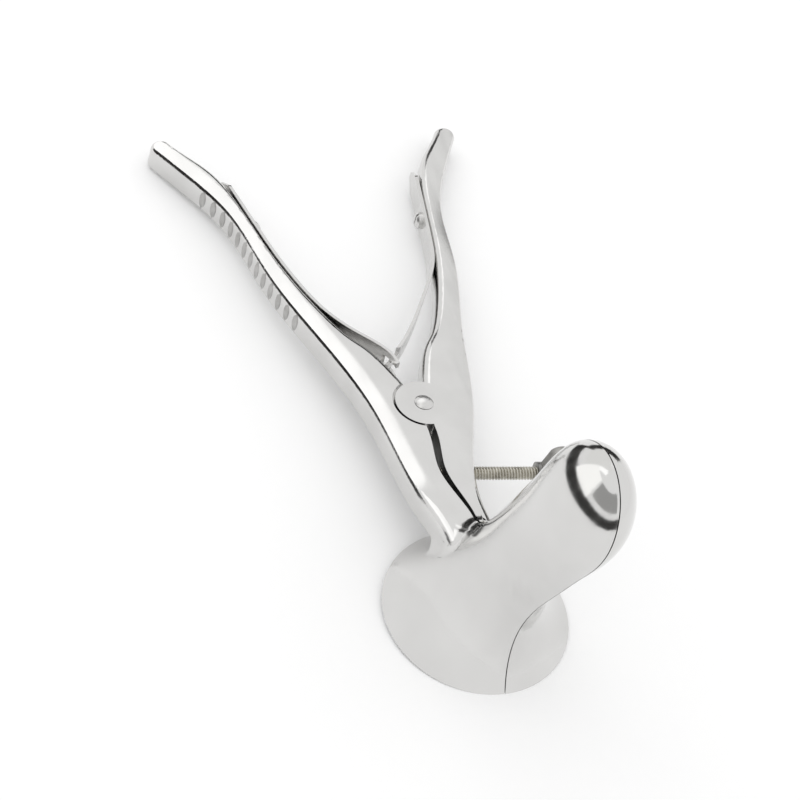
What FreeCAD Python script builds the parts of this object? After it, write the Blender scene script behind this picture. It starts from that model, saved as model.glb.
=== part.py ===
import FreeCAD, Part
import math
import os

import Sketcher
from FreeCAD import Placement, Rotation, Vector

# Bivalve speculum: two levers on one pivot screw, each with a handle above the pivot, a short arm below it
# and a half-tube blade with half of a round flange brazed to the arm. Squeezing the handles against two
# leaf springs spreads the blades, and a set screw through the right arm holds them open.
#
# Working frame: the pivot axis is Z, its zero is the upper face of the handles, X points to the right
# handle and Y to the handle tips. The blades stand up beyond the pivot, away from the tips. At the end
# everything is tipped and lifted so that the handle tips and the flange rest on the plane Z = 0.

sizes = [
    ("handle_depth", 8.0, "levers, measured along the pivot axis"),
    ("upper_round", 2.3, "rounding along the upper outline of both handles"),
    ("lower_round", 1.3, "rounding along the lower outline of both handles"),
    ("root_out", 8.4, "arms: outer sides near the blades, off their middle"),
    ("root_along", 31.0, "arms: that station, below the pivot"),
    ("root_shift", 3.4, "arms: how far their middle lies to the left there"),
    ("foot_out", 7.1, "arms: outer sides at their ends, off their middle"),
    ("foot_shift", 2.3, "arms: how far that middle lies to the left"),
    ("arm_reach", 47.0, "arm: its end below the pivot, inside the flange"),
    ("shoulder_out", 14.6, "handle: outer side beside the pivot"),
    ("hip_out", 20.8, "handle: outer side where it leaves the joint"),
    ("hip_along", 26.0, "handle: that station above the pivot"),
    ("hip_width", 9.4, "handle: width there"),
    ("belly_out", 27.8, "handle: outer side at the swell under the palm"),
    ("belly_along", 52.0, "handle: that station above the pivot"),
    ("belly_width", 6.2, "handle: width there"),
    ("waist_out", 32.2, "handle: outer side at the narrow of the S curve"),
    ("waist_along", 77.0, "handle: that station above the pivot"),
    ("waist_width", 5.6, "handle: width there"),
    ("flare_out", 39.8, "handle: outer side where the tip turns out"),
    ("flare_along", 93.0, "handle: that station above the pivot"),
    ("flare_width", 8.4, "handle: width there"),
    ("tip_out", 42.6, "handle: middle of the round tip, outwards"),
    ("tip_along", 104.0, "handle: middle of the round tip, above the pivot"),
    ("tip_radius", 3.0, "handle: round tip"),
    ("tip_turn", 30.0, "degrees that the tip leans outwards"),
    ("lug_radius", 7.7, "half-lapped round lug of each lever"),
    ("recess_gap", 0.7, "open crescent round each lug"),
    ("lap_gap", 0.2, "running gap between the two lapped faces"),
    ("notch_out", 2.35, "inner corner of each handle beside the lug"),
    ("gap_top", 1.1, "half of the gap between the arms, just below the lug"),
    ("gap_top_shift", 1.0, "how far the middle of the gap lies to the left there"),
    ("gap_middle", 0.9, "half of the gap between the arms, halfway down"),
    ("gap_middle_shift", 2.9, "how far the middle of the gap lies to the left there"),
    ("gap_middle_along", 24.0, "that station below the pivot"),
    ("gap_foot", 0.5, "half of the gap between the arms, where they meet the bell"),
    ("gap_foot_shift", 0.2, "how far the middle of the gap lies to the left there"),
    ("gap_foot_along", 38.0, "that station below the pivot"),
    ("gap_end", 0.3, "half of the gap between the arms at the blades"),
    ("pivot_radius", 1.6, "shank of the pivot screw"),
    ("pivot_play", 0.05, "radial running clearance of the pivot screw"),
    ("pivot_head_radius", 2.55, "domed head of the pivot screw"),
    ("pivot_head_rise", 1.25, "height of that head"),
    ("pivot_foot_radius", 2.3, "closed-over lower end of the pivot screw"),
    ("pivot_foot_rise", 0.7, "height of that end"),
    ("groove_count", 13, "finger grooves on each handle"),
    ("groove_pitch", 4.1, "distance between the grooves along the handle"),
    ("groove_start", 36.0, "first groove above the pivot"),
    ("groove_radius", 1.6, "round of each groove across the handle"),
    ("groove_depth", 0.55, "depth of each groove"),
    ("groove_height", 7.2, "height of the round that cuts each groove, along the pivot axis"),
    ("blade_lean", 22.5, "degrees between the blade axis and the pivot axis"),
    ("rim_lean", 7.0, "degrees between the flange normal and the pivot axis"),
    ("rim_radius", 24.6, "outer radius of the round flange"),
    ("rim_along", 55.0, "middle of the flange below the pivot"),
    ("rim_drop", 19.5, "middle of the flange behind the upper face of the handles"),
    ("bell_length", 37.6, "bell between the flange rim and the tube, along the blade axis"),
    ("bell_power", 2.6, "how quickly the bell narrows"),
    ("tube_height", 27.6, "closed blades at the waist, in the parting plane"),
    ("tube_width", 20.0, "closed blades, through both of them"),
    ("tube_shift", 2.8, "middle of the tube off the blade axis, towards the handles"),
    ("nose_height", 29.8, "closed blades just before the nose"),
    ("nose_shift", 2.0, "middle of the nose off the blade axis"),
    ("nose_start", 72.8, "start of the round nose along the blade axis"),
    ("nose_length", 21.0, "length of the round nose"),
    ("wall", 1.3, "sheet thickness of blades and flange"),
    ("seam_gap", 0.3, "gap between the two closed blades"),
    ("leaf_thick", 0.9, "leaf springs"),
    ("leaf_width", 6.6, "leaf springs, along the pivot axis"),
    ("leaf_seat", 0.05, "space between a leaf spring and its handle"),
    ("leaf_top", 91.0, "pointed end of each leaf spring above the pivot"),
    ("leaf_point", 5.0, "length of that point"),
    ("right_leave", 55.0, "place where the right leaf spring leaves its handle"),
    ("right_bow_out", 14.6, "right leaf spring: first station of the free bow, off the middle"),
    ("right_bow_along", 41.0, "right leaf spring: that station above the pivot"),
    ("right_reach_out", 5.4, "right leaf spring: second station of the free bow, off the middle"),
    ("right_reach_along", 27.2, "right leaf spring: that station above the pivot"),
    ("left_leave", 48.0, "place where the left leaf spring leaves its handle"),
    ("left_bow_out", 15.0, "left leaf spring: first station of the free bow, off the middle"),
    ("left_bow_along", 35.6, "left leaf spring: that station above the pivot"),
    ("left_reach_out", 8.2, "left leaf spring: second station of the free bow, off the middle"),
    ("left_reach_along", 26.6, "left leaf spring: that station above the pivot"),
    ("meet_out", 2.4, "hook of the leaf springs, left of the middle"),
    ("meet_along", 18.6, "that hook above the pivot"),
    ("tongue_out", 1.7, "reach of the right leaf spring past the hook, to the left"),
    ("tongue_drop", 1.5, "reach of the right leaf spring past the hook, downwards"),
    ("fork_out", 0.6, "reach of the left leaf spring past the hook, to the right"),
    ("fork_drop", 3.2, "reach of the left leaf spring past the hook, downwards"),
    ("tongue_width", 2.2, "tongue of the right leaf spring"),
    ("tongue_play", 0.35, "clearance of the tongue in the slot of the left leaf spring"),
    ("tongue_shoulder", 2.4, "room between the hook and the full width of each leaf spring"),
    ("leaf_screw_along", 72.0, "screws of the leaf springs above the pivot"),
    ("leaf_screw_radius", 1.3, "shank of those screws"),
    ("leaf_screw_head", 2.35, "radius of their heads"),
    ("leaf_screw_rise", 1.5, "height of their heads"),
    ("leaf_screw_reach", 3.4, "depth of their shanks in the handle"),
    ("slot_width", 0.6, "screwdriver slots"),
    ("slot_depth", 0.6, "depth of those slots"),
    ("rod_radius", 1.75, "set screw, outside of the thread"),
    ("rod_play", 0.05, "radial clearance of the set screw in its arm and in its head"),
    ("rod_along", 21.5, "set screw below the pivot"),
    ("rod_lean", 6.5, "degrees that the set screw leans towards the blades"),
    ("rod_inset", 2.0, "inner end of the set screw, left of the middle"),
    ("rod_end", 28.8, "outer end of the set screw, right of the middle"),
    ("rod_taper", 0.5, "chamfer at both ends of the set screw"),
    ("wing_start", 24.0, "inner end of the wing head, right of the middle"),
    ("wing_hub_radius", 3.0, "hub of the wing head"),
    ("wing_hub_length", 4.2, "length of that hub"),
    ("wing_span", 18.5, "wing head from tip to tip"),
    ("wing_thick", 1.8, "thickness of the wings"),
    ("wing_ear_radius", 3.2, "round end of each wing"),
]

doc = FreeCAD.newDocument("speculum")
sheet = doc.addObject("Spreadsheet::Sheet", "sizes")
sheet.Label = "sizes"
for row, (alias, value, note) in enumerate(sizes, start=1):
    sheet.set(f"A{row}", alias)
    sheet.set(f"B{row}", str(value))
    sheet.set(f"C{row}", note)
    sheet.setAlias(f"B{row}", alias)
doc.recompute()


def size(alias):
    return float(sheet.get(alias))


def bind(item, prop, formula):
    item.setExpression(prop, formula)


# general helpers

def addFeature(name, shape):
    feature = doc.addObject("Part::Feature", name)
    feature.Shape = shape
    return feature


def addCylinder(name, radius, height, start, axis):
    tool = doc.addObject("Part::Cylinder", name)
    bind(tool, "Radius", radius)
    bind(tool, "Height", height)
    tool.Placement = Placement(start, Rotation(Vector(0, 0, 1), axis))
    return tool


def addFuse(name, shapes):
    fuse = doc.addObject("Part::MultiFuse", name)
    fuse.Shapes = shapes
    return fuse


def addCut(name, base, tool):
    cut = doc.addObject("Part::Cut", name)
    cut.Base = base
    cut.Tool = tool
    cut.Label = name
    return cut


def originPlane(body, role):
    for feature in body.Origin.OriginFeatures:
        if feature.Role == role:
            return feature
    raise ValueError(role)


def planeSketch(body, role, name):
    sketch = body.newObject("Sketcher::SketchObject", name)
    sketch.AttachmentSupport = [(originPlane(body, role), "")]
    sketch.MapMode = "FlatFace"
    return sketch


def newBody(label):
    body = doc.addObject("PartDesign::Body", label + "_body")
    body.Label = label
    return body


def smooth(points, start, end):
    curve = Part.BSplineCurve()
    curve.interpolate(Points=points, InitialTangent=start, FinalTangent=end)
    return curve


def mirrored(point, side):
    return Vector(point.x * side, point.y, point.z)


def mirroredCurve(curve, side):
    copy = curve.copy()
    if side < 0:
        copy.mirror(Vector(0, 0, 0), Vector(0, 1, 0))
    return copy


# plan outline of the levers: seen from each side's own outer side the handles are mirror images, and the
# arms below the pivot lean to the left together

tipTurn = math.radians(size("tip_turn"))
tipAhead = Vector(math.sin(tipTurn), math.cos(tipTurn), 0)
tipAside = Vector(math.cos(tipTurn), -math.sin(tipTurn), 0)
tipMiddle = Vector(size("tip_out"), size("tip_along"), 0)


def station(name, inwards=0.0):
    return Vector(size(name + "_out") - inwards, size(name + "_along"), 0)


def makeOuterCurve(side):
    armEnd = Vector(size("foot_out") - side * size("foot_shift"), -size("arm_reach"), 0)
    root = Vector(size("root_out") - side * size("root_shift"), -size("root_along"), 0)
    shoulder = Vector(size("shoulder_out"), 0, 0)
    tip = tipMiddle + tipAside * size("tip_radius")
    points = [armEnd, root, shoulder, station("hip"), station("belly"), station("waist"), station("flare"), tip]
    return smooth(points, Vector(0, 1, 0), tipAhead)


def makeInnerCurve():
    cornerAlong = math.sqrt(size("lug_radius") ** 2 - size("notch_out") ** 2)
    tip = tipMiddle - tipAside * size("tip_radius")
    points = [tip]
    for name in ("flare", "waist", "belly", "hip"):
        points.append(station(name, size(name + "_width")))
    corner = Vector(size("notch_out"), cornerAlong, 0)
    return smooth(points + [corner], tipAhead * -1, corner * (-1 / corner.Length))


def makeGapCurve(side):
    out = size("gap_top") - side * size("gap_top_shift")
    start = math.sqrt((size("lug_radius") + size("recess_gap")) ** 2 - out ** 2)
    points = [Vector(out, -start, 0)]
    for name in ("gap_middle", "gap_foot"):
        points.append(Vector(size(name) - side * size(name + "_shift"), -size(name + "_along"), 0))
    points.append(Vector(size("gap_end"), -size("arm_reach"), 0))
    return smooth(points, Vector(0, -1, 0), Vector(0, -1, 0))


outerCurves = {side: makeOuterCurve(side) for side in (-1, 1)}
gapCurves = {side: makeGapCurve(side) for side in (-1, 1)}
innerCurve = makeInnerCurve()


def firstPoint(curve):
    return curve.value(curve.FirstParameter)


def lastPoint(curve):
    return curve.value(curve.LastParameter)


def leverOutline(side):
    outerCurve = outerCurves[side]
    gapCurve = gapCurves[side]
    apex = tipMiddle + tipAhead * size("tip_radius")
    tipArc = Part.Arc(mirrored(lastPoint(outerCurve), side), mirrored(apex, side),
                      mirrored(firstPoint(innerCurve), side))
    notch = Part.LineSegment(mirrored(lastPoint(innerCurve), side), mirrored(firstPoint(gapCurve), side))
    armEnd = Part.LineSegment(mirrored(lastPoint(gapCurve), side), mirrored(firstPoint(outerCurve), side))
    return [mirroredCurve(outerCurve, side), tipArc, mirroredCurve(innerCurve, side), notch,
            mirroredCurve(gapCurve, side), armEnd]


# point of a curve at a height above the pivot, with the direction square to it on the outer side

def pointAt(curve, along):
    low, high = curve.FirstParameter, curve.LastParameter
    rising = lastPoint(curve).y > firstPoint(curve).y
    for step in range(60):
        middle = (low + high) / 2
        if (curve.value(middle).y < along) == rising:
            low = middle
        else:
            high = middle
    tangent = curve.tangent(middle)[0]
    outward = Vector(abs(tangent.y), -math.copysign(tangent.x, tangent.x * tangent.y), 0)
    return curve.value(middle), outward


# blades: closed sections along the blade axis, from the flange rim to the nose

bladeLean = math.radians(size("blade_lean"))
rimTilt = math.radians(size("blade_lean") - size("rim_lean"))
bladeAhead = Vector(0, -math.sin(bladeLean), math.cos(bladeLean))
bladeAside = Vector(0, math.cos(bladeLean), math.sin(bladeLean))
rimMiddle = Vector(0, -size("rim_along"), -size("rim_drop"))
lensPower = 0.8
roundPower = 0.5
noseTurns = (22, 42, 60, 74, 84, 88.5)
noseBlend = 0.7


def mix(start, end, share):
    return start + (end - start) * share


def sectionWire(along, tilt, shift, halfHeight, halfWidth, power):
    upward = bladeAside * math.cos(tilt) - bladeAhead * math.sin(tilt)
    middle = rimMiddle + bladeAhead * along + upward * shift
    points = []
    steps = 24
    for step in range(steps):
        angle = -math.pi / 2 + 2 * math.pi * step / steps
        lift = math.sin(angle)
        reach = math.copysign((1 - lift * lift) ** power, math.cos(angle))
        points.append(middle + upward * (halfHeight * lift) + Vector(halfWidth * reach, 0, 0))
    curve = Part.BSplineCurve()
    curve.interpolate(Points=points, PeriodicFlag=True)
    return Part.Wire([curve.toShape()])


def bellWires(inset):
    wires = []
    for stop in (0.0, 0.07, 0.16, 0.28, 0.42, 0.6, 0.8):
        share = (1 - stop) ** size("bell_power")
        halfHeight = mix(size("tube_height") / 2, size("rim_radius"), share)
        halfWidth = mix(size("tube_width") / 2, size("rim_radius"), share)
        wires.append(sectionWire(size("bell_length") * stop, rimTilt * (1 - stop), size("tube_shift") * (1 - share),
                                 halfHeight - inset, halfWidth - inset, mix(lensPower, roundPower, share)))
    return wires


def tubeWires(inset):
    wires = []
    for share in (0.0, 0.35, 0.7, 1.0):
        halfHeight = mix(size("tube_height"), size("nose_height"), share) / 2
        wires.append(sectionWire(mix(size("bell_length"), size("nose_start"), share), 0,
                                 mix(size("tube_shift"), size("nose_shift"), share), halfHeight - inset,
                                 size("tube_width") / 2 - inset,
                                 mix(lensPower, roundPower, noseBlend * share * share)))
    return wires


def noseWires(inset):
    wires = []
    for degrees in noseTurns:
        turn = math.radians(degrees)
        blend = mix(noseBlend, 1, min(1, 2 * math.sin(turn)))
        wires.append(sectionWire(size("nose_start") + (size("nose_length") - inset) * math.sin(turn), 0,
                                 size("nose_shift"), (size("nose_height") / 2 - inset) * math.cos(turn),
                                 (size("tube_width") / 2 - inset) * math.cos(turn),
                                 mix(lensPower, roundPower, blend)))
    return wires


def bladeCore(inset, overshoot):
    wires = bellWires(inset) + tubeWires(inset) + noseWires(inset)
    if overshoot > 0:
        radius = size("rim_radius") - inset + overshoot
        wires.insert(0, sectionWire(-overshoot, rimTilt, 0, radius, radius, roundPower))
    return Part.makeLoft(wires, True, False)


def halfSpace(side):
    reach = 3 * size("nose_start")
    box = Part.makeBox(reach, 2 * reach, 2 * reach, Vector(size("seam_gap") / 2, -reach, -reach))
    if side < 0:
        box = box.mirror(Vector(0, 0, 0), Vector(1, 0, 0))
    return box


bladeFilled = addFeature("blade_filled", bladeCore(0.0, 0.0))
bladeShell = bladeFilled.Shape.cut(bladeCore(size("wall"), 1.0))


def makeBlade(label, side):
    blade = addFeature(label, bladeShell.common(halfSpace(side)).Solids[0])
    blade.Label = label
    return blade


# levers: padded outline, rounded edges and half lap, then the cuts for screws, grooves and blade

def roundedEdges(shape, curves, height):
    names = []
    for number, edge in enumerate(shape.Edges, start=1):
        if abs(edge.BoundBox.ZMin - height) > 0.01 or abs(edge.BoundBox.ZMax - height) > 0.01:
            continue
        middle = edge.valueAt((edge.FirstParameter + edge.LastParameter) / 2)
        flat = Vector(middle.x, middle.y, 0)
        if any(flat.distanceToPoint(curve.value(curve.parameter(flat))) < 0.01 for curve in curves):
            names.append(f"Edge{number}")
    return names


def circleSketch(body, name, radius, height):
    sketch = planeSketch(body, "XY_Plane", name)
    sketch.addGeometry(Part.Circle(Vector(0, 0, 0), Vector(0, 0, 1), size("lug_radius")), False)
    sketch.addConstraint(Sketcher.Constraint("Coincident", 0, 3, -1, 1))
    sketch.addConstraint(Sketcher.Constraint("Radius", 0, size("lug_radius")))
    bind(sketch, "Constraints[1]", radius)
    bind(sketch, "AttachmentOffset.Base.z", height)
    return sketch


def makeLeverBody(label, side):
    body = newBody(label + "_blank")
    outline = planeSketch(body, "XY_Plane", label + "_outline")
    curves = leverOutline(side)
    outline.addGeometry(curves, False)
    pad = body.newObject("PartDesign::Pad", label + "_pad")
    pad.Profile = outline
    pad.Reversed = True
    bind(pad, "Length", "sizes.handle_depth")
    doc.recompute()

    base = pad
    for name, height in (("upper", 0), ("lower", -size("handle_depth"))):
        rounding = body.newObject("PartDesign::Fillet", f"{label}_{name}_rounding")
        rounding.Base = (base, roundedEdges(base.Shape, curves[:3], height))
        bind(rounding, "Radius", f"sizes.{name}_round")
        doc.recompute()
        base = rounding

    # the right lug lies on top and the left one underneath
    lapAbove = "-sizes.handle_depth / 2 + sizes.lap_gap / 2"
    lapBelow = "-sizes.handle_depth / 2 - sizes.lap_gap / 2"
    lug = body.newObject("PartDesign::Pad", label + "_lug")
    lug.Profile = circleSketch(body, label + "_lug_circle", "sizes.lug_radius", "0 mm" if side > 0 else lapBelow)
    lug.Reversed = True
    bind(lug, "Length", "sizes.handle_depth / 2 - sizes.lap_gap / 2")

    recess = body.newObject("PartDesign::Pocket", label + "_recess")
    recess.Profile = circleSketch(body, label + "_recess_circle", "sizes.lug_radius + sizes.recess_gap",
                                  lapAbove if side > 0 else lapBelow)
    recess.Type = "ThroughAll"
    recess.Reversed = side < 0
    doc.recompute()
    return body


def grooveTools(label, side):
    tools = []
    for number in range(int(size("groove_count"))):
        point, outward = pointAt(outerCurves[side], size("groove_start") + number * size("groove_pitch"))
        middle = point + outward * (size("groove_radius") - size("groove_depth"))
        tool = doc.addObject("Part::Ellipsoid", f"{label}_groove_{number + 1}")
        bind(tool, "Radius1", "sizes.groove_height / 2")
        bind(tool, "Radius2", "sizes.groove_radius")
        tool.Placement.Base = Vector(middle.x * side, middle.y, -size("handle_depth") / 2)
        tools.append(tool)
    return tools


def leafScrewSeat(side):
    point, outward = pointAt(innerCurve, size("leaf_screw_along"))
    seat = point - outward * (size("leaf_seat") + size("leaf_thick"))
    seat.z = -size("handle_depth") / 2
    return mirrored(seat, side), mirrored(outward, side)


# axis of the set screw: it leans towards the blades from its inner end outwards
rodLean = math.radians(size("rod_lean"))
rodAxis = Vector(math.cos(rodLean), -math.sin(rodLean), 0)
rodMiddle = Vector(0, -size("rod_along"), -size("handle_depth") / 2)


def alongRod(out):
    return rodMiddle + rodAxis * (out / math.cos(rodLean))


def makeLever(label, side):
    body = makeLeverBody(label, side)
    tools = grooveTools(label, side)
    bore = addCylinder(label + "_pivot_bore", "sizes.pivot_radius + sizes.pivot_play", "2 * sizes.handle_depth",
                       Vector(0, 0, -1.5 * size("handle_depth")), Vector(0, 0, 1))
    seat, outward = leafScrewSeat(side)
    leafBore = addCylinder(label + "_leaf_screw_bore", "sizes.leaf_screw_radius",
                           "sizes.leaf_screw_reach + sizes.leaf_thick + sizes.leaf_seat", seat, outward)
    tools += [bore, leafBore, bladeFilled]
    if side > 0:
        tools.append(addCylinder(label + "_rod_bore", "sizes.rod_radius + sizes.rod_play",
                                 "2 * sizes.shoulder_out", alongRod(-size("rod_inset") * 2), rodAxis))
    return addCut(label, body, addFuse(label + "_cuts", tools))


# leaf springs: a strip along the handle, then a free bow to the hook near the middle

def leafPath(side):
    name = "right_" if side > 0 else "left_"
    setOff = size("leaf_seat") + size("leaf_thick") / 2
    seats = []
    for share in (0, 0.25, 0.5, 0.75, 1):
        point, outward = pointAt(innerCurve, mix(size("waist_along"), size(name + "leave"), share))
        seats.append(point - outward * setOff)
    upward = (seats[0] - seats[1]).normalize()
    top = seats[0] + upward * ((size("leaf_top") - seats[0].y) / upward.y)
    meet = Vector(-size("meet_out") * side, size("meet_along"), 0)
    foot = "tongue" if side > 0 else "fork"
    past = meet - Vector(size(foot + "_out"), size(foot + "_drop"), 0)
    points = [top] + seats + [station(name + "bow"), station(name + "reach"), meet, past]
    return smooth(points, upward * -1, past - meet)


def leafSide(path, setOff, side):
    points = []
    steps = 16
    for step in range(steps + 1):
        place = mix(path.FirstParameter, path.LastParameter, step / steps)
        tangent = path.tangent(place)[0]
        across = Vector(tangent.y, -tangent.x, 0)
        points.append(mirrored(path.value(place) + across * setOff, side))
    curve = Part.BSplineCurve()
    curve.interpolate(Points=points)
    return curve


def leafOutline(side):
    path = leafPath(side)
    front = leafSide(path, size("leaf_thick") / 2, side)
    back = leafSide(path, -size("leaf_thick") / 2, side)
    return [front, Part.LineSegment(lastPoint(front), lastPoint(back)), back,
            Part.LineSegment(firstPoint(back), firstPoint(front))]


def polygonLines(corners):
    ends = corners[1:] + corners[:1]
    return [Part.LineSegment(start, end) for start, end in zip(corners, ends)]


# what remains of each strip when it is seen from the side: a pointed end, and a tongue or a fork
def leafSilhouette(side):
    half = size("leaf_width") / 2
    top = size("leaf_top") + size("leaf_thick")
    shoulder = size("meet_along") + size("tongue_shoulder")
    if side > 0:
        foot = [(shoulder, half), (shoulder, size("tongue_width") / 2), (0, size("tongue_width") / 2)]
    else:
        slot = size("tongue_width") / 2 + size("tongue_play")
        foot = [(0, half), (0, slot), (shoulder, slot)]
    upper = [(top, 0.4), (top - size("leaf_point"), half)] + foot
    corners = [Vector(along, rise, 0) for along, rise in upper]
    corners += [Vector(along, -rise, 0) for along, rise in reversed(upper)]
    return polygonLines(corners)


def makeLeaf(label, side):
    body = newBody(label + "_strip")
    outline = planeSketch(body, "XY_Plane", label + "_outline")
    outline.addGeometry(leafOutline(side), False)
    bind(outline, "AttachmentOffset.Base.z", "-(sizes.handle_depth + sizes.leaf_width) / 2")
    pad = body.newObject("PartDesign::Pad", label + "_pad")
    pad.Profile = outline
    bind(pad, "Length", "sizes.leaf_width")

    profile = doc.addObject("Sketcher::SketchObject", label + "_side_view")
    profile.addGeometry(leafSilhouette(side), False)
    profile.Placement = Placement(Vector(0, 0, -size("handle_depth") / 2), Rotation(Vector(1, 1, 1), 120))
    block = doc.addObject("Part::Extrusion", label + "_side_block")
    block.Base = profile
    block.DirMode = "Normal"
    block.Solid = True
    block.Symmetric = True
    bind(block, "LengthFwd", "4 * sizes.flare_out")
    trimmed = doc.addObject("Part::Common", label + "_trimmed")
    trimmed.Base = body
    trimmed.Tool = block
    seat, outward = leafScrewSeat(side)
    bore = addCylinder(label + "_bore", "sizes.leaf_screw_radius", "3 * sizes.leaf_thick",
                       seat - outward * size("leaf_thick"), outward)
    return addCut(label, trimmed, bore)


# screws and pins, each made upright with its head on top and then laid in place

def addCap(name, radius, rise, base, upward):
    ball = f"(({radius}) ^ 2 + ({rise}) ^ 2) / (2 * ({rise}))"
    cap = doc.addObject("Part::Sphere", name)
    bind(cap, "Radius", ball)
    bind(cap, "Angle1", f"asin(1 - ({rise}) / ({ball}))")
    doc.recompute()
    lift = size(rise.split(".")[1]) - cap.Radius.Value
    cap.Placement = Placement(base + upward * lift, Rotation(Vector(0, 0, 1), upward))
    return cap


def makePivotScrew(label):
    up = Vector(0, 0, 1)
    foot = Vector(0, 0, -size("handle_depth"))
    head = addCap(label + "_head", "sizes.pivot_head_radius", "sizes.pivot_head_rise",
                  Vector(0, 0, size("lap_gap") / 2), up)
    shank = addCylinder(label + "_shank", "sizes.pivot_radius", "sizes.handle_depth + sizes.lap_gap / 2", foot, up)
    rivet = addCap(label + "_foot", "sizes.pivot_foot_radius", "sizes.pivot_foot_rise", foot, up * -1)
    screw = addFuse(label, [head, shank, rivet])
    screw.Label = label
    return screw


def makeLeafScrew(label, side):
    seat, outward = leafScrewSeat(side)
    inward = outward * -1
    shank = addCylinder(label + "_shank", "sizes.leaf_screw_radius",
                        "sizes.leaf_screw_reach + sizes.leaf_thick + sizes.leaf_seat", seat, outward)
    head = addCylinder(label + "_head", "sizes.leaf_screw_head", "0.6 * sizes.leaf_screw_rise", seat, inward)
    crown = doc.addObject("Part::Cone", label + "_crown")
    bind(crown, "Radius1", "sizes.leaf_screw_head")
    bind(crown, "Radius2", "sizes.leaf_screw_head - 0.4 * sizes.leaf_screw_rise")
    bind(crown, "Height", "0.4 * sizes.leaf_screw_rise")
    crown.Placement = Placement(seat + inward * (0.6 * size("leaf_screw_rise")), Rotation(Vector(0, 0, 1), inward))
    slot = doc.addObject("Part::Box", label + "_slot")
    bind(slot, "Length", "sizes.slot_depth * 2")
    bind(slot, "Width", "sizes.slot_width")
    bind(slot, "Height", "3 * sizes.leaf_screw_head")
    turn = Rotation(Vector(1, 0, 0), inward)
    corner = Vector(-size("slot_depth"), -size("slot_width") / 2, -1.5 * size("leaf_screw_head"))
    slot.Placement = Placement(seat + inward * size("leaf_screw_rise") + turn.multVec(corner), turn)
    return addCut(label, addFuse(label + "_blank", [shank, head, crown]), slot)


def makeRod(label):
    taper = size("rod_taper")
    start = alongRod(-size("rod_inset"))
    end = alongRod(size("rod_end"))
    length = (end - start).Length
    middle = doc.addObject("Part::Cylinder", label + "_middle")
    bind(middle, "Radius", "sizes.rod_radius")
    middle.Height = length - 2 * taper
    middle.Placement = Placement(start + rodAxis * taper, Rotation(Vector(0, 0, 1), rodAxis))
    pieces = [middle]
    for name, place, direction in (("inner", start + rodAxis * taper, rodAxis * -1),
                                   ("outer", end - rodAxis * taper, rodAxis)):
        cone = doc.addObject("Part::Cone", f"{label}_{name}_end")
        bind(cone, "Radius1", "sizes.rod_radius")
        bind(cone, "Radius2", "sizes.rod_radius - sizes.rod_taper")
        bind(cone, "Height", "sizes.rod_taper")
        cone.Placement = Placement(place, Rotation(Vector(0, 0, 1), direction))
        pieces.append(cone)
    rod = addFuse(label, pieces)
    rod.Label = label
    return rod


def wingOutline():
    ear = size("wing_ear_radius")
    reach = size("wing_span") / 2 - ear
    rise = size("wing_hub_length") + 0.25 * ear

    def onEar(side, degrees):
        turn = math.radians(degrees)
        return Vector(side * (reach + ear * math.cos(turn)), rise + ear * math.sin(turn), 0)

    footRight = Vector(0.8 * size("wing_hub_radius"), 0.15 * size("wing_hub_length"), 0)
    footLeft = mirrored(footRight, -1)
    dip = Vector(0, 0.8 * size("wing_hub_length"), 0)
    return [
        Part.LineSegment(footLeft, footRight),
        Part.LineSegment(footRight, onEar(1, -55)),
        Part.Arc(onEar(1, -55), onEar(1, 35), onEar(1, 125)),
        Part.Arc(onEar(1, 125), dip, onEar(-1, 125)),
        Part.Arc(onEar(-1, 125), onEar(-1, 35), onEar(-1, -55)),
        Part.LineSegment(onEar(-1, -55), footLeft),
    ]


def makeWing(label):
    body = newBody(label + "_wings")
    outline = planeSketch(body, "XY_Plane", label + "_outline")
    outline.addGeometry(wingOutline(), False)
    bind(outline, "AttachmentOffset.Base.z", "-sizes.wing_thick / 2")
    pad = body.newObject("PartDesign::Pad", label + "_pad")
    pad.Profile = outline
    bind(pad, "Length", "sizes.wing_thick")
    start = alongRod(size("wing_start"))

    # the wings stand along the pivot axis while the blades are closed
    wingSide = Vector(0, 0, 1)
    body.Placement = Placement(start, Rotation(wingSide, rodAxis, wingSide.cross(rodAxis), "ZYX"))
    hub = addCylinder(label + "_hub", "sizes.wing_hub_radius", "sizes.wing_hub_length", start, rodAxis)
    bore = addCylinder(label + "_bore", "sizes.rod_radius + sizes.rod_play", "3 * sizes.wing_hub_length",
                       start - rodAxis * size("wing_hub_length"), rodAxis)
    return addCut(label, addFuse(label + "_blank", [body, hub]), bore)


# rest: tip the assembly until the handle tips and the far edge of the flange lie on one plane

rimLean = math.radians(size("rim_lean"))
rimFoot = rimMiddle - Vector(0, math.cos(rimLean), math.sin(rimLean)) * size("rim_radius")
tipFoot = Vector(0, size("tip_along") + size("tip_radius") - size("lower_round"), -size("handle_depth"))
tip = math.atan2(tipFoot.z - rimFoot.z, tipFoot.y - rimFoot.y)


def restPlacement(pieces):
    turned = Placement(Vector(0, 0, 0), Rotation(Vector(1, 0, 0), -math.degrees(tip)))
    box = FreeCAD.BoundBox()
    for piece in pieces:
        shape = piece.Shape.copy()
        shape.Placement = turned.multiply(shape.Placement)
        box.add(shape.optimalBoundingBox(True, False))
    lift = Placement(Vector(-box.Center.x, -box.Center.y, -box.ZMin), Rotation())
    return lift.multiply(turned)


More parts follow.
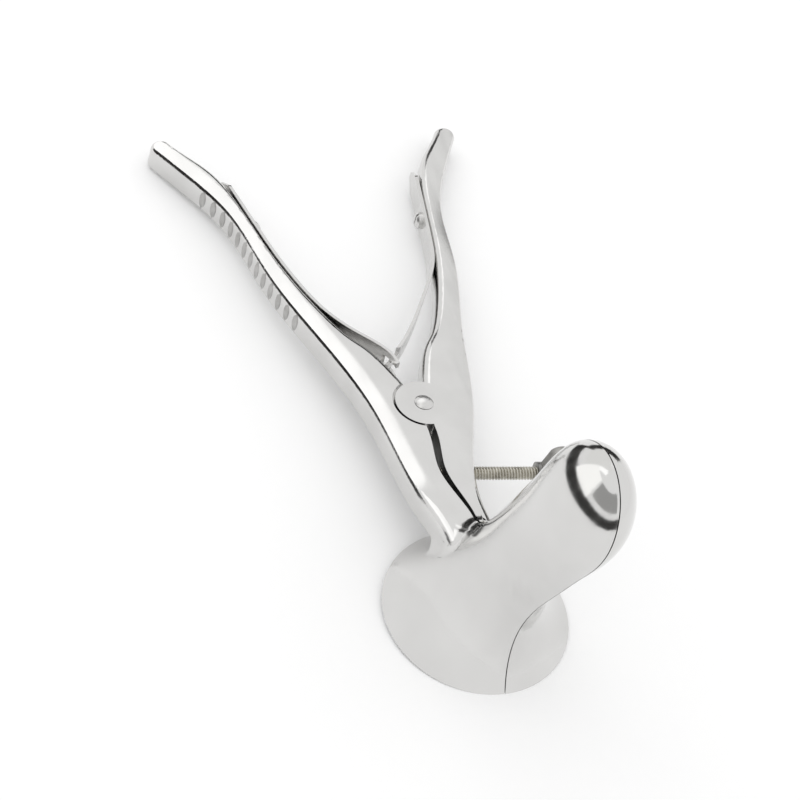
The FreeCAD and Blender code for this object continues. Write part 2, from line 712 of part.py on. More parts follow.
pieces = [
    makeLever("left_handle", -1),
    makeLever("right_handle", 1),
    makeBlade("left_blade", -1),
    makeBlade("right_blade", 1),
    makePivotScrew("pivot_screw"),
    makeLeaf("left_leaf_spring", -1),
    makeLeaf("right_leaf_spring", 1),
    makeLeafScrew("left_leaf_screw", -1),
    makeLeafScrew("right_leaf_screw", 1),
    makeRod("set_screw_rod"),
    makeWing("set_screw_wing"),
]
doc.recompute()

rest = restPlacement(pieces)
for piece in pieces:
    piece.Placement = rest.multiply(piece.Placement)

for item in doc.Objects:
    if "Invalid" in item.State or "Error" in item.State:
        raise RuntimeError(f"{item.Name} did not compute: {item.State}")
for piece in pieces:
    if piece.Shape.isNull() or not piece.Shape.isValid() or not piece.Shape.Solids:
        raise RuntimeError(f"{piece.Label} has no sound solid")

os.makedirs("parts", exist_ok=True)
for piece in pieces:
    piece.Shape.exportStep(f"parts/{piece.Label}.step")
    box = piece.Shape.optimalBoundingBox(True, False)
    print(f"{piece.Label}: {len(piece.Shape.Solids)} solid, {piece.Shape.Volume:.0f} mm3, "
          f"x {box.XMin:.2f} {box.XMax:.2f}, y {box.YMin:.2f} {box.YMax:.2f}, z {box.ZMin:.2f} {box.ZMax:.2f}")
print("rest placement", rest)
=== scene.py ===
import math

import bmesh
import bpy
from mathutils import Matrix, Vector
from mathutils.bvhtree import BVHTree


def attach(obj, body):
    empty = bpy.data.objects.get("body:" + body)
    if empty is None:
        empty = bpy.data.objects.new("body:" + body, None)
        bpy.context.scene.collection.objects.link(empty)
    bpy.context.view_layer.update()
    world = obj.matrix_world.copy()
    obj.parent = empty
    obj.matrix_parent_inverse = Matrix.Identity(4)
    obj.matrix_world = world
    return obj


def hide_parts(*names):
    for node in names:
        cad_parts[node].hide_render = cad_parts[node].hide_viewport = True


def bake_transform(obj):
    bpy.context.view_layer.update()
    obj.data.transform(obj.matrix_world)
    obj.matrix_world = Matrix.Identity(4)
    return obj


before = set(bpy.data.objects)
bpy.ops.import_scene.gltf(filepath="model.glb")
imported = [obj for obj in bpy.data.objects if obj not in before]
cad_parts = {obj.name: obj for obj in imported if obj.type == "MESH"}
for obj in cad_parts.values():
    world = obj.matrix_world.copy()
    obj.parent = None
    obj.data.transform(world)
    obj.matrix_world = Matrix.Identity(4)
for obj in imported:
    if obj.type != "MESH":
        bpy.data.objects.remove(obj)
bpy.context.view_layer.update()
print("frame loaded:", ", ".join(sorted(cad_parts)))


# instrument frame: pivot axis up, x to the right handle, y to the handle tips, millimetres

restPose = {
    "tipDegrees": 4.47816,  # tips down until handle tips and flange touch the floor
    "pivotAlong": -6.96726,
    "pivotHeight": 16.2325,
}
restTurn = Matrix.Rotation(math.radians(-restPose["tipDegrees"]), 4, "X")
restShift = Vector((0, restPose["pivotAlong"], restPose["pivotHeight"]))


def toWorld(x, y, z):
    return (restTurn @ Vector((x, y, z)) + restShift) * 0.001


def turnToWorld(x, y, z):
    return restTurn.to_3x3() @ Vector((x, y, z))


def mix(a, b, share):
    return a + (b - a) * share


# camera

cameraView = {
    "distance": 780.0,  # from the pivot, mm
    "aside": -6.24,
    "raise": 0.65,
    "lens": 135.0,
    "right": (0.92365998, -0.31271679, 0.22149596),
    "up": (0.0757678, 0.71561457, 0.69437384),
    "back": (-0.37564809, -0.62458306, 0.6846784),
}


def makeCamera():
    right = turnToWorld(*cameraView["right"])
    up = turnToWorld(*cameraView["up"])
    back = turnToWorld(*cameraView["back"])
    place = toWorld(0, 0, 0)
    place += (right * cameraView["aside"] + up * cameraView["raise"] + back * cameraView["distance"]) * 0.001
    data = bpy.data.cameras.new("photoCamera")
    data.lens = cameraView["lens"]
    data.sensor_width = 36.0
    data.clip_start = 0.01
    camera = bpy.data.objects.new("photoCamera", data)
    bpy.context.scene.collection.objects.link(camera)
    turn = Matrix((right, up, back)).transposed().to_4x4()
    camera.matrix_world = Matrix.Translation(place) @ turn
    bpy.context.scene.camera = camera


makeCamera()
print("camera set")


# steel finishes

def newMaterial(name):
    material = bpy.data.materials.new(name)
    material.use_nodes = True
    material.node_tree.nodes.clear()
    return material, material.node_tree.nodes, material.node_tree.links


def addNode(nodes, kind, **values):
    node = nodes.new(kind)
    for key, value in values.items():
        if hasattr(node, key):
            setattr(node, key, value)
        else:
            node.inputs[key].default_value = value
    return node


def rampBetween(nodes, links, source, low, high, start, end):
    ramp = nodes.new("ShaderNodeMapRange")
    ramp.inputs["From Min"].default_value = start
    ramp.inputs["From Max"].default_value = end
    ramp.inputs["To Min"].default_value = low
    ramp.inputs["To Max"].default_value = high
    links.new(source, ramp.inputs["Value"])
    return ramp.outputs["Result"]


def makeSteel(name, look):
    material, nodes, links = newMaterial(name)
    output = addNode(nodes, "ShaderNodeOutputMaterial")
    shader = addNode(nodes, "ShaderNodeBsdfPrincipled", Metallic=1.0)
    place = addNode(nodes, "ShaderNodeTexCoord")
    cloud = addNode(nodes, "ShaderNodeTexNoise", Scale=look["cloudScale"], Detail=look["cloudDetail"])
    hair = addNode(nodes, "ShaderNodeTexNoise", Scale=look["hairScale"], Detail=look["hairDetail"])
    stretch = addNode(nodes, "ShaderNodeMapping", Scale=look["hairStretch"])
    links.new(place.outputs["Object"], cloud.inputs["Vector"])
    links.new(place.outputs["Object"], stretch.inputs["Vector"])
    links.new(stretch.outputs["Vector"], hair.inputs["Vector"])

    colour = addNode(nodes, "ShaderNodeValToRGB")
    colour.color_ramp.elements[0].color = (*look["darkColour"], 1)
    colour.color_ramp.elements[1].color = (*look["paleColour"], 1)
    colour.color_ramp.elements[0].position = look["cloudRange"][0]
    colour.color_ramp.elements[1].position = look["cloudRange"][1]
    links.new(cloud.outputs["Fac"], colour.inputs["Fac"])
    links.new(colour.outputs["Color"], shader.inputs["Base Color"])

    rough = rampBetween(nodes, links, hair.outputs["Fac"], look["smooth"], look["rough"], *look["hairRange"])
    links.new(rough, shader.inputs["Roughness"])
    wave = addNode(nodes, "ShaderNodeBump", Strength=look["waveStrength"], Distance=look["waveDepth"])
    links.new(cloud.outputs["Fac"], wave.inputs["Height"])
    scratch = addNode(nodes, "ShaderNodeBump", Strength=look["hairStrength"], Distance=look["hairDepth"])
    links.new(hair.outputs["Fac"], scratch.inputs["Height"])
    links.new(wave.outputs["Normal"], scratch.inputs["Normal"])
    links.new(scratch.outputs["Normal"], shader.inputs["Normal"])
    links.new(shader.outputs["BSDF"], output.inputs["Surface"])
    return material


bladeLook = {
    "darkColour": (0.655, 0.65, 0.64),
    "paleColour": (0.69, 0.685, 0.675),
    "smooth": 0.10, "rough": 0.16,
    "cloudScale": 55.0, "cloudDetail": 2.0, "cloudRange": (0.35, 0.65),  # soft patches of tone
    "waveStrength": 0.12, "waveDepth": 0.0004,
    "hairScale": 400.0, "hairDetail": 3.0, "hairRange": (0.3, 0.7),  # polishing marks
    "hairStretch": (1.0, 1.0, 0.15), "hairStrength": 0.05, "hairDepth": 0.00002,
}
evenMarks = (1.0, 1.0, 1.0)
leverLook = dict(bladeLook, smooth=0.10, rough=0.2, hairStretch=(1.0, 0.12, 1.0), cloudScale=90.0)
springLook = dict(bladeLook, smooth=0.14, rough=0.26, hairStretch=(1.0, 0.1, 1.0), cloudScale=140.0)
screwLook = dict(bladeLook, smooth=0.26, rough=0.36, hairStretch=evenMarks, cloudScale=300.0)
threadLook = dict(bladeLook, darkColour=(0.46, 0.44, 0.39), paleColour=(0.62, 0.60, 0.54),
                  smooth=0.22, rough=0.38, hairStretch=evenMarks, cloudScale=400.0)
# the wing head's darker colour is painted shade
wingShadeLook = dict(bladeLook, darkColour=(0.22, 0.215, 0.21), paleColour=(0.34, 0.335, 0.32),
                smooth=0.24, rough=0.38, hairStretch=evenMarks, cloudScale=260.0)
# satin steel for the finger grooves; its darker colour is painted shade in the groove hollows
grooveShadeLook = dict(bladeLook, darkColour=(0.44, 0.435, 0.425), paleColour=(0.52, 0.515, 0.505),
                  smooth=0.3, rough=0.42, hairStretch=evenMarks, cloudScale=300.0)
# near-black steel for the arm faces inside the gap: painted shade between the arms
gapShadeLook = dict(bladeLook, darkColour=(0.10, 0.098, 0.095), paleColour=(0.16, 0.157, 0.15),
               smooth=0.35, rough=0.5, hairStretch=evenMarks, cloudScale=300.0)

bladeSteel = makeSteel("polishedBladeSteel", bladeLook)
leverSteel = makeSteel("polishedLeverSteel", leverLook)
springSteel = makeSteel("springSteel", springLook)
screwSteel = makeSteel("screwSteel", screwLook)
threadSteel = makeSteel("cutThreadSteel", threadLook)
wingShadeSteel = makeSteel("wingHeadPaintedShadeSteel", wingShadeLook)
grooveShadeSteel = makeSteel("satinGroovePaintedShadeSteel", grooveShadeLook)
gapShadeSteel = makeSteel("paintedGapShadeSteel", gapShadeLook)


finishes = {
    "left_handle": leverSteel, "right_handle": leverSteel,
    "left_blade": bladeSteel, "right_blade": bladeSteel,
    "pivot_screw": screwSteel, "left_leaf_screw": screwSteel, "right_leaf_screw": screwSteel,
    "left_leaf_spring": springSteel, "right_leaf_spring": springSteel,
    "set_screw_rod": threadSteel, "set_screw_wing": wingShadeSteel,
}
for node, finish in finishes.items():
    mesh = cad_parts[node].data
    mesh.materials.clear()
    mesh.materials.append(finish)
print("steel finishes on")


# shared mesh helpers

def toInstrument(point):
    return restTurn.to_3x3().transposed() @ (Vector(point) * 1000 - restShift)


def shadeSmooth(mesh, creaseDegrees):
    mesh.shade_smooth()
    mesh.set_sharp_from_angle(angle=math.radians(creaseDegrees))


def recalcNormals(mesh):
    made = bmesh.new()
    made.from_mesh(mesh)
    bmesh.ops.recalc_face_normals(made, faces=made.faces)
    made.to_mesh(mesh)
    made.free()


def addPiece(name, mesh, body, material, creaseDegrees=35.0):
    piece = bpy.data.objects.new(name, mesh)
    bpy.context.scene.collection.objects.link(piece)
    mesh.materials.clear()
    mesh.materials.append(material)
    shadeSmooth(mesh, creaseDegrees)
    if body:
        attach(piece, body)
    return piece


def nodeCopy(node):
    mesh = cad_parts[node].data.copy()
    made = bmesh.new()
    made.from_mesh(mesh)
    bmesh.ops.remove_doubles(made, verts=made.verts, dist=1e-6)
    made.to_mesh(mesh)
    made.free()
    if "custom_normal" in mesh.attributes:
        mesh.attributes.remove(mesh.attributes["custom_normal"])
    return mesh


def surfaceOf(node):
    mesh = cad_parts[node].data
    points = [toInstrument(vertex.co) for vertex in mesh.vertices]
    return BVHTree.FromPolygons(points, [face.vertices[:] for face in mesh.polygons])


# handles: the CAD levers with a crowned top that falls away to the outer side

crown = {
    "band": 5.4,  # width of the crowned strip, mm
    "drop": 0.85,  # at the outer side
    "power": 1.35,
    "fadeStart": -24.0, "fadeEnd": -37.0,  # along the arm, below the pivot
    "top": 104.5,
    "sideDepth": -6.65,  # where the outer side is read, below the grooves
    "step": 1.2, "rows": 14, "smoothTurns": 6, "extraSteps": 7,
    "overhang": 1.5,  # of the cutter, past the outer side
    "clear": 0.006,  # half the cutter's rise above the flat top
    "creaseDegrees": 28.0,
}


def outerEdge(surface, side, along):
    start = Vector((side * 90, along, crown["sideDepth"]))
    hit = surface.ray_cast(start, Vector((-side, 0, 0)))[0]
    return hit.x * side if hit else None


def smoothLine(points, turns):
    for turn in range(turns):
        inside = [(points[n - 1] + points[n] * 2 + points[n + 1]) / 4 for n in range(1, len(points) - 1)]
        points = [points[0]] + inside + [points[-1]]
    return points


def crownCutter(surface, side):
    edges = []
    along = crown["fadeEnd"] - 3
    while along < crown["top"]:
        out = outerEdge(surface, side, along)
        if out is not None:
            edges.append(Vector((out, along, 0)))
        along += crown["step"]
    edges = smoothLine(edges, crown["smoothTurns"])
    last = (edges[-1] - edges[-2]).normalized()
    edges += [edges[-1] + last * crown["step"] * n for n in range(1, crown["extraSteps"] + 1)]
    rows, band, clear = crown["rows"], crown["band"], crown["clear"]
    points, faces = [], []
    for number, edge in enumerate(edges):
        ahead = edges[min(number + 1, len(edges) - 1)] - edges[max(number - 1, 0)]
        inward = Vector((-ahead.y, ahead.x, 0)).normalized()
        fade = (edge.y - crown["fadeEnd"]) / (crown["fadeStart"] - crown["fadeEnd"])
        fade = min(1, max(0, fade))
        fade = fade * fade * (3 - 2 * fade)
        for row in range(rows + 1):
            inner = mix(-crown["overhang"], band, row / rows)
            share = max(0, 1 - inner / band)
            depth = -crown["drop"] * share ** crown["power"] * fade + 2 * clear * (1 - share) - clear
            spot = edge + inward * inner
            points.append(toWorld(spot.x * side, spot.y, depth))
    count = len(points)
    points += [point + turnToWorld(0, 0, clear) for point in points[:count]]
    width, lines = rows + 1, len(edges)
    for line in range(lines - 1):
        for row in range(rows):
            corner = line * width + row
            ring = (corner, corner + 1, corner + width + 1, corner + width)
            faces.append(ring)
            faces.append(tuple(count + n for n in reversed(ring)))
    border = list(range(width))
    border += [line * width + rows for line in range(1, lines)]
    border += [(lines - 1) * width + row for row in range(rows - 1, -1, -1)]
    border += [line * width for line in range(lines - 2, 0, -1)]
    for start, end in zip(border, border[1:] + border[:1]):
        faces.append((end, start, count + start, count + end))
    mesh = bpy.data.meshes.new("crownCutter")
    mesh.from_pydata(points, [], faces)
    recalcNormals(mesh)
    return mesh


grooves = {
    "count": 13, "start": 36.0, "pitch": 4.1,  # along the outer side, mm
    "round": 1.6, "halfHeight": 3.6, "depth": -4.0, "cut": 0.55,
    "slack": 1.3,  # a face within this share of the round that cut the groove belongs to it
}
armGap = {"from": -41.0, "to": -9.0, "halfWidth": 6.5, "facing": -0.75}  # faces inside it that turn towards the other arm take painted shade


def grooveMiddles(surface, side):
    middles = []
    pitch = grooves["pitch"]
    for number in range(grooves["count"]):
        along = grooves["start"] + number * pitch
        before, here, after = [outerEdge(surface, side, along + shift) for shift in (-pitch, 0, pitch)]
        outward = Vector((2 * pitch, before - after, 0)).normalized()
        middle = Vector((here, along, grooves["depth"])) + outward * (grooves["round"] - grooves["cut"])
        middles.append(Vector((middle.x * side, middle.y, middle.z)))
    return middles


def inGroove(corners, middle):
    for corner in corners:
        away = corner - middle
        flat = (away.x ** 2 + away.y ** 2) / grooves["round"] ** 2
        if flat + (away.z / grooves["halfHeight"]) ** 2 >= grooves["slack"]:
            return False
    return True


# groove faces get satin steel with painted shade, arm faces inside the gap get painted shade
def markGrooveAndGapShade(mesh, surface, side):
    mesh.materials.append(grooveShadeSteel)
    mesh.materials.append(gapShadeSteel)
    middles = grooveMiddles(surface, side)
    spots = [toInstrument(vertex.co) for vertex in mesh.vertices]
    for face in mesh.polygons:
        corners = [spots[corner] for corner in face.vertices]
        centre = sum(corners, Vector()) / len(corners)
        if centre.y > grooves["start"] - grooves["pitch"]:
            if centre.x * side > 0 and any(inGroove(corners, middle) for middle in middles):
                face.material_index = 1
        # arm faces turned towards the other arm inside the gap take painted shade
        elif armGap["from"] < centre.y < armGap["to"] and abs(centre.x) < armGap["halfWidth"]:
            normal = restTurn.to_3x3().transposed() @ face.normal
            if normal.x * side < armGap["facing"]:
                face.material_index = 2


def makeHandle(name, node, side):
    surface = surfaceOf(node)
    cutter = bpy.data.objects.new("crownCutter", crownCutter(surface, side))
    bpy.context.scene.collection.objects.link(cutter)
    piece = addPiece(name, nodeCopy(node), None, leverSteel, crown["creaseDegrees"])
    cut = piece.modifiers.new("crown", "BOOLEAN")
    cut.operation = "DIFFERENCE"
    cut.solver = "EXACT"
    cut.object = cutter
    ready = piece.evaluated_get(bpy.context.evaluated_depsgraph_get())
    mesh = bpy.data.meshes.new_from_object(ready)
    piece.modifiers.clear()
    piece.data = mesh
    bpy.data.objects.remove(cutter)
    shadeSmooth(mesh, crown["creaseDegrees"])
    markGrooveAndGapShade(mesh, surface, side)
    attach(piece, "left_lever" if side < 0 else "right_lever")
    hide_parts(node)


makeHandle("leftHandleCrowned", "left_handle", -1)
makeHandle("rightHandleCrowned", "right_handle", 1)
# the grooves and the gap now carry painted shade
print("handles crowned, grooves and gap finished")


# leaf springs: the CAD strips, cut finely into slices along the handles

leaves = {
    "from": 12.0, "to": 92.0, "slice": 1.2,  # along the handles, mm
    "start": (-22.0, 62.0, -4.0), "end": (22.0, 62.0, -4.0),  # two points across both strips
}


def makeLeaf(name, node):
    mesh = nodeCopy(node)
    made = bmesh.new()
    made.from_mesh(mesh)
    across = turnToWorld(0, 1, 0)
    along = leaves["from"]
    while along < leaves["to"]:
        everything = list(made.verts) + list(made.edges) + list(made.faces)
        bmesh.ops.bisect_plane(made, geom=everything, dist=1e-7,
                               plane_co=toWorld(0, along, 0), plane_no=across)
        along += leaves["slice"]
    made.to_mesh(mesh)
    made.free()
    piece = addPiece(name, mesh, None, springSteel)
    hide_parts(node)
    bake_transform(piece)


makeLeaf("leftLeafSpring", "left_leaf_spring")
makeLeaf("rightLeafSpring", "right_leaf_spring")


# set screw: real thread on the rod, and a winged head with rounded edges

setScrew = {
    "along": -21.5, "depth": -4.0, "lean": 6.5,
    "inner": -2.0, "outer": 28.8,
    "crest": 1.75, "root": 1.28, "pitch": 0.794, "chamfer": 0.5,
    "crestWidth": 1.18, "flankPower": 0.8,  # form of the ridges
    "perPitch": 10, "around": 40,
    "wingRound": 0.33, "wingSegments": 3, "flatDegrees": 1.0, "crispDegrees": 50.0,
}


def screwSpot(out, sideways, upward):
    lean = math.radians(setScrew["lean"])
    ahead = Vector((math.cos(lean), -math.sin(lean), 0))
    aside = Vector((math.sin(lean), math.cos(lean), 0))
    middle = Vector((0, setScrew["along"], setScrew["depth"])) + ahead * (out / math.cos(lean))
    return toWorld(*(middle + aside * sideways + Vector((0, 0, upward))))


def makeThread():
    length = setScrew["outer"] - setScrew["inner"]
    rows = int(length / setScrew["pitch"] * setScrew["perPitch"])
    around = setScrew["around"]
    points, faces = [], []
    for row in range(rows + 1):
        out = setScrew["inner"] + length * row / rows
        toEnd = min(out - setScrew["inner"], setScrew["outer"] - out)
        limit = setScrew["crest"] - max(0, setScrew["chamfer"] - toEnd)
        for step in range(around):
            turn = 2 * math.pi * step / around
            wave = 0.5 + 0.5 * math.cos(2 * math.pi * out / setScrew["pitch"] - turn)
            ridge = min(1, setScrew["crestWidth"] * wave ** setScrew["flankPower"])
            radius = min(limit, mix(setScrew["root"], setScrew["crest"], ridge))
            points.append(screwSpot(out, radius * math.cos(turn), radius * math.sin(turn)))
    for row in range(rows):
        for step in range(around):
            turned = (step + 1) % around
            faces.append((row * around + step, row * around + turned,
                          (row + 1) * around + turned, (row + 1) * around + step))
    faces.append(tuple(range(around - 1, -1, -1)))
    faces.append(tuple(rows * around + step for step in range(around)))
    mesh = bpy.data.meshes.new("setScrewThread")
    mesh.from_pydata(points, [], faces)
    piece = addPiece("setScrewThread", mesh, "set_screw", threadSteel, 60)
    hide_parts("set_screw_rod")


def edgesBetween(made, low, high):
    inside = [edge for edge in made.edges if len(edge.link_faces) == 2]
    return [edge for edge in inside if low < math.degrees(edge.calc_face_angle()) < high]


def makeWing():
    mesh = nodeCopy("set_screw_wing")
    made = bmesh.new()
    made.from_mesh(mesh)
    flat = edgesBetween(made, -1, setScrew["flatDegrees"])
    bmesh.ops.dissolve_edges(made, edges=flat, use_verts=False)
    crisp = edgesBetween(made, setScrew["crispDegrees"], 181)
    bmesh.ops.bevel(made, geom=crisp, offset=setScrew["wingRound"] * 0.001, segments=setScrew["wingSegments"],
                    profile=0.6, affect="EDGES", clamp_overlap=True)
    made.to_mesh(mesh)
    made.free()
    # wing head steel darkened as painted shade
    piece = addPiece("setScrewWing", mesh, "wing_head", wingShadeSteel)
    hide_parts("set_screw_wing")


makeThread()
makeWing()
print("set screw threaded")


# roots: polished fillet between each arm and its blade, as left by a ball that rolls in the corner

root = {
    "radiusTop": 8.0, "radiusSide": 5.0,  # of that ball, mm
    "inset": 2.6,  # of the line that the ball turns about, from the arm's top and side
    "topShare": 0.42, "turnShare": 0.38, "sideShare": 0.2,  # of the way over the arm
    "seamGap": 0.55, "bottom": -7.0, "firstAlong": -36.0,
    "stations": 46, "segments": 22, "smoothTurns": 5,
    "sink": 0.03,  # both edges of the fillet lie this deep
}


def ballGaps(arm, blade, origin, direction, radius, out, along):
    centre = origin + direction * out + Vector((0, along, 0))
    return arm.find_nearest(centre)[3] - radius, blade.find_nearest(centre)[3] - radius


def rollBall(arm, blade, origin, direction, radius, start):
    out, along = start
    step, longest, close = 0.02, 1.5, 1e-4
    for attempt in range(40):
        first = ballGaps(arm, blade, origin, direction, radius, out, along)
        if abs(first[0]) + abs(first[1]) < close:
            break
        byOut = ballGaps(arm, blade, origin, direction, radius, out + step, along)
        byAlong = ballGaps(arm, blade, origin, direction, radius, out, along + step)
        a, b = (byOut[0] - first[0]) / step, (byAlong[0] - first[0]) / step
        c, d = (byOut[1] - first[1]) / step, (byAlong[1] - first[1]) / step
        size = a * d - b * c
        if abs(size) < close:
            break
        moveOut = (-first[0] * d + first[1] * b) / size
        moveAlong = (first[0] * c - first[1] * a) / size
        out += max(-longest, min(longest, moveOut))
        along += max(-longest, min(longest, moveAlong))
    return out, along


def rootStations(side, outer):
    inset = root["inset"]
    middle = side * (outer - inset)
    turnFrom = root["topShare"]
    turnTo = turnFrom + root["turnShare"]
    stations = []
    for step in range(root["stations"] + 1):
        share = step / root["stations"]
        if share < turnFrom:
            x = mix(side * root["seamGap"], middle, share / turnFrom)
            stations.append((Vector((x, 0, -inset)), Vector((0, 0, 1)), root["radiusTop"]))
        elif share < turnTo:
            part = (share - turnFrom) / root["turnShare"]
            turn = math.radians(90) * part
            direction = Vector((side * math.sin(turn), 0, math.cos(turn)))
            radius = mix(root["radiusTop"], root["radiusSide"], part)
            stations.append((Vector((middle, 0, -inset)), direction, radius))
        else:
            z = mix(-inset, root["bottom"], (share - turnTo) / root["sideShare"])
            stations.append((Vector((middle, 0, z)), Vector((side, 0, 0)), root["radiusSide"]))
    return stations


def makeRoot(name, label, side, outer):
    arm = surfaceOf(label + "_handle")
    blade = surfaceOf(label + "_blade")
    start = (root["inset"] + root["radiusTop"], root["firstAlong"])
    strips = []
    for origin, direction, radius in rootStations(side, outer):
        start = rollBall(arm, blade, origin, direction, radius, start)
        centre = origin + direction * start[0] + Vector((0, start[1], 0))
        onArm = arm.find_nearest(centre)[0] - centre
        onBlade = blade.find_nearest(centre)[0] - centre
        strips.append([centre, onArm.normalized(), onBlade.normalized(), radius])
    for turn in range(root["smoothTurns"]):
        held = [list(strip) for strip in strips]
        for number in range(1, len(strips) - 1):
            for part in range(3):
                total = held[number - 1][part] + held[number][part] * 2 + held[number + 1][part]
                strips[number][part] = total / 4 if part == 0 else total.normalized()
    segments = root["segments"]
    points, faces = [], []
    for centre, onArm, onBlade, radius in strips:
        swing = onArm.angle(onBlade)
        for step in range(segments + 1):
            share = step / segments
            spot = (onArm * math.sin((1 - share) * swing) + onBlade * math.sin(share * swing)) / math.sin(swing)
            reach = radius + root["sink"] * (2 * share - 1) ** 8
            points.append(toWorld(*(centre + spot * reach)))
    for strip in range(len(strips) - 1):
        for step in range(segments):
            corner = strip * (segments + 1) + step
            faces.append((corner, corner + 1, corner + segments + 2, corner + segments + 1))
    mesh = bpy.data.meshes.new(name)
    mesh.from_pydata(points, [], faces)
    recalcNormals(mesh)
    addPiece(name, mesh, label + "_lever", leverSteel, 60)


makeRoot("leftRootFillet", "left", -1, 9.3)
makeRoot("rightRootFillet", "right", 1, 4.9)
print("roots filled")


# floor, white surroundings, cards that only the steel reflects, and soft light

studio = {
    "floorSize": 6.0,
    "floorColour": (0.93, 0.93, 0.93),
    "floorLift": 0.08,  # for what the camera and the steel see, so that the empty floor is white
    "domeLevel": 0.95,
    "panelPlace": (-0.22, 0.55, 0.86), "panelAim": (0.0, 0.0, 0.03),
    "panelSize": 0.95, "panelEnergy": 1.4,
}

# each card works from one side only, in metres and degrees
darkCards = {
    "colour": (0.035, 0.034, 0.033),
    "shelfMiddle": (0.0, -0.085), "shelfEdge": 0.115, "shelfEnd": 1.1, "shelfHeight": 0.048,  # below the nose
    "shelfFrom": 85.0, "shelfTo": 290.0, "shelfSteps": 60,
    "backRadius": 1.2, "backFoot": 0.002, "backHeight": 0.55,  # past the handle tips
    "backFrom": 33.0, "backTo": 92.0, "backSteps": 30,
    "wallFoot": (-0.03, -0.045), "wallTurn": 142.0,  # along the left handle
    "wallStart": 0.04, "wallLength": 1.3, "wallSteps": 8,
    "wallLow": 0.002, "wallHigh": 0.012, "wallRise": 0.5,
}

# glowing cards round the nose of the blades
noseCards = {
    "middle": (0.0, -0.083, 0.085), "reach": 0.1, "rows": 6, "steps": 12,
    "greyNoseCard": {"turn": (-170.0, -80.0), "rise": (8.0, 44.0), "level": 0.42},
    "whiteNoseCard": {"turn": (134.0, 184.0), "rise": (-3.0, 46.0), "level": 1.4},
    "plainNoseCard": {"turn": (60.0, 134.0), "rise": (14.0, 84.0), "level": 1.0},
}


def makeSheet(name, points, faces, material):
    mesh = bpy.data.meshes.new(name)
    mesh.from_pydata(points, [], faces)
    sheet = bpy.data.objects.new(name, mesh)
    bpy.context.scene.collection.objects.link(sheet)
    mesh.materials.append(material)
    return sheet


def seenRays(nodes, links):
    light = addNode(nodes, "ShaderNodeLightPath")
    seen = light.outputs["Is Camera Ray"]
    for ray in ("Is Glossy Ray", "Is Transmission Ray"):
        either = addNode(nodes, "ShaderNodeMath", operation="MAXIMUM")
        links.new(seen, either.inputs[0])
        links.new(light.outputs[ray], either.inputs[1])
        seen = either.outputs["Value"]
    return seen


def paperGrain(nodes, links, scale, dark, pale, target):
    grain = addNode(nodes, "ShaderNodeTexNoise", Scale=scale)
    tone = addNode(nodes, "ShaderNodeValToRGB")
    tone.color_ramp.elements[0].color = (*dark, 1)
    tone.color_ramp.elements[1].color = (*pale, 1)
    links.new(grain.outputs["Fac"], tone.inputs["Fac"])
    links.new(tone.outputs["Color"], target)


def makeFloor():
    half = studio["floorSize"] / 2
    pale = studio["floorColour"]
    material, nodes, links = newMaterial("whitePaper")
    output = addNode(nodes, "ShaderNodeOutputMaterial")
    paper = addNode(nodes, "ShaderNodeBsdfDiffuse")
    paperGrain(nodes, links, 40.0, [part * 0.995 for part in pale], pale, paper.inputs["Color"])
    lift = addNode(nodes, "ShaderNodeEmission")
    strength = addNode(nodes, "ShaderNodeMath", operation="MULTIPLY")
    strength.inputs[1].default_value = studio["floorLift"]
    both = addNode(nodes, "ShaderNodeAddShader")
    links.new(seenRays(nodes, links), strength.inputs[0])
    links.new(strength.outputs["Value"], lift.inputs["Strength"])
    links.new(paper.outputs["BSDF"], both.inputs[0])
    links.new(lift.outputs["Emission"], both.inputs[1])
    links.new(both.outputs["Shader"], output.inputs["Surface"])
    corners = [(-half, -half, 0), (half, -half, 0), (half, half, 0), (-half, half, 0)]
    makeSheet("floor", corners, [(0, 1, 2, 3)], material)


def oneSided(nodes, links, surface):
    output = addNode(nodes, "ShaderNodeOutputMaterial")
    clear = addNode(nodes, "ShaderNodeBsdfTransparent")
    face = addNode(nodes, "ShaderNodeNewGeometry")
    choose = addNode(nodes, "ShaderNodeMixShader")
    links.new(face.outputs["Backfacing"], choose.inputs["Fac"])
    links.new(surface, choose.inputs[1])
    links.new(clear.outputs["BSDF"], choose.inputs[2])
    links.new(choose.outputs["Shader"], output.inputs["Surface"])


def makeCard(name, points, faces, material, facing):
    card = makeSheet(name, points, faces, material)
    if facing.dot(card.data.polygons[0].normal) < 0:
        card.data.flip_normals()
    card.visible_camera = False
    card.visible_diffuse = False
    card.visible_shadow = False


def ringSheet(inner, outer, low, high, start, end, steps):
    points = []
    for step in range(steps + 1):
        turn = math.radians(mix(start, end, step / steps))
        points.append((inner * math.cos(turn), inner * math.sin(turn), low))
        points.append((outer * math.cos(turn), outer * math.sin(turn), high))
    return points, [(2 * n, 2 * n + 1, 2 * n + 3, 2 * n + 2) for n in range(steps)]


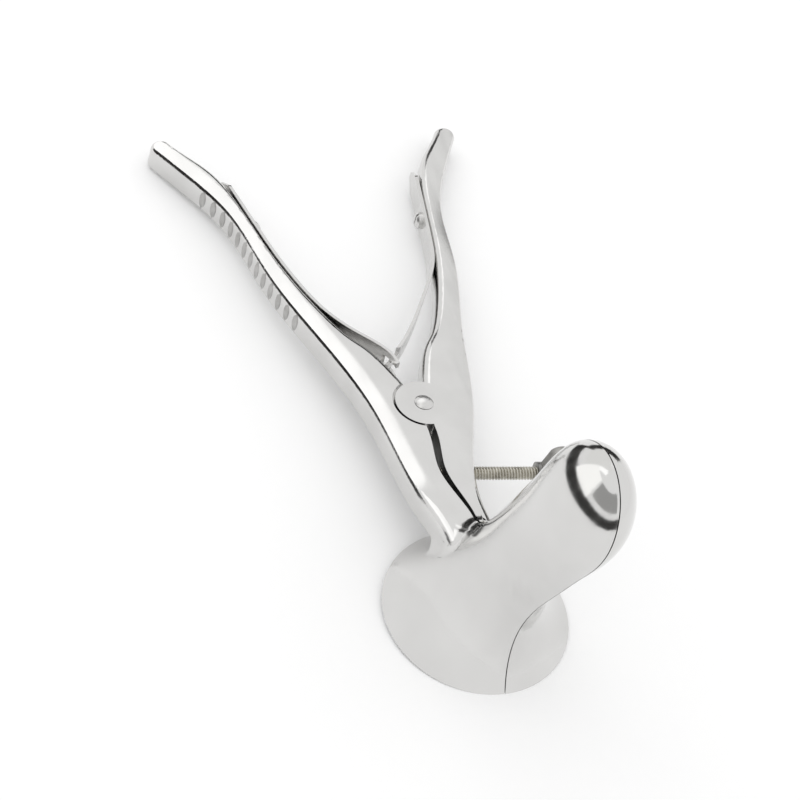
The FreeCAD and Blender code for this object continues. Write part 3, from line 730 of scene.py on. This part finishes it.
def makeDarkCards():
    material, nodes, links = newMaterial("darkCard")
    paper = addNode(nodes, "ShaderNodeBsdfDiffuse")
    colour = darkCards["colour"]
    paperGrain(nodes, links, 15.0, [part * 0.9 for part in colour], colour, paper.inputs["Color"])
    oneSided(nodes, links, paper.outputs["BSDF"])

    height = darkCards["shelfHeight"]
    points, faces = ringSheet(darkCards["shelfEdge"], darkCards["shelfEnd"], height, height,
                              darkCards["shelfFrom"], darkCards["shelfTo"], darkCards["shelfSteps"])
    middleX, middleY = darkCards["shelfMiddle"]
    points = [(x + middleX, y + middleY, z) for x, y, z in points]
    makeCard("darkShelf", points, faces, material, Vector((0, 0, 1)))

    points, faces = ringSheet(darkCards["backRadius"], darkCards["backRadius"], darkCards["backFoot"],
                              darkCards["backHeight"], darkCards["backFrom"], darkCards["backTo"],
                              darkCards["backSteps"])
    makeCard("darkBack", points, faces, material, Vector((-0.6, -0.8, 0)))

    turn = math.radians(darkCards["wallTurn"])
    footX, footY = darkCards["wallFoot"]
    points, faces = [], []
    for step in range(darkCards["wallSteps"] + 1):
        reach = mix(darkCards["wallStart"], darkCards["wallLength"], step / darkCards["wallSteps"])
        x, y = footX + reach * math.cos(turn), footY + reach * math.sin(turn)
        points += [(x, y, darkCards["wallLow"]), (x, y, darkCards["wallHigh"] + reach * darkCards["wallRise"])]
        if step:
            faces.append((2 * step - 2, 2 * step - 1, 2 * step + 1, 2 * step))
    makeCard("darkWall", points, faces, material, Vector((math.sin(turn), -math.cos(turn), 0)))


def makeNoseCard(name):
    values = noseCards[name]
    material, nodes, links = newMaterial(name + "Glow")
    glow = addNode(nodes, "ShaderNodeEmission")
    glow.inputs["Strength"].default_value = values["level"]
    paperGrain(nodes, links, 15.0, (0.94, 0.94, 0.93), (1.0, 1.0, 0.99), glow.inputs["Color"])
    oneSided(nodes, links, glow.outputs["Emission"])
    middle = Vector(noseCards["middle"])
    rows, steps = noseCards["rows"], noseCards["steps"]
    points, faces = [], []
    for row in range(rows + 1):
        rise = math.radians(mix(*values["rise"], row / rows))
        for step in range(steps + 1):
            turn = math.radians(mix(*values["turn"], step / steps))
            flat = math.cos(rise)
            way = Vector((flat * math.cos(turn), flat * math.sin(turn), math.sin(rise)))
            points.append(middle + way * noseCards["reach"])
            if row and step:
                corner = row * (steps + 1) + step
                faces.append((corner - steps - 2, corner - steps - 1, corner, corner - 1))
    makeCard(name, points, faces, material, middle - points[0])


def makeWorld():
    world = bpy.data.worlds.new("whiteTent")
    bpy.context.scene.world = world
    world.use_nodes = True
    nodes, links = world.node_tree.nodes, world.node_tree.links
    nodes.clear()
    output = addNode(nodes, "ShaderNodeOutputWorld")
    tent = addNode(nodes, "ShaderNodeBackground", Strength=studio["domeLevel"], Color=(1, 1, 1, 1))
    white = addNode(nodes, "ShaderNodeBackground", Strength=1.0, Color=(1, 1, 1, 1))
    choose = addNode(nodes, "ShaderNodeMixShader")
    links.new(seenRays(nodes, links), choose.inputs["Fac"])
    links.new(tent.outputs["Background"], choose.inputs[1])
    links.new(white.outputs["Background"], choose.inputs[2])
    links.new(choose.outputs["Shader"], output.inputs["Surface"])


def addPanel():
    data = bpy.data.lights.new("keyPanel", "AREA")
    data.shape = "RECTANGLE"
    data.size = data.size_y = studio["panelSize"]
    data.energy = studio["panelEnergy"]
    panel = bpy.data.objects.new("keyPanel", data)
    panel.location = studio["panelPlace"]
    panel.rotation_mode = "QUATERNION"
    aim = Vector(studio["panelAim"]) - Vector(studio["panelPlace"])
    panel.rotation_quaternion = aim.to_track_quat("-Z", "Y")
    bpy.context.scene.collection.objects.link(panel)


makeFloor()
makeDarkCards()
for name in ("greyNoseCard", "whiteNoseCard", "plainNoseCard"):
    makeNoseCard(name)
makeWorld()
addPanel()
bpy.context.scene.view_settings.view_transform = "Standard"
print("studio ready")
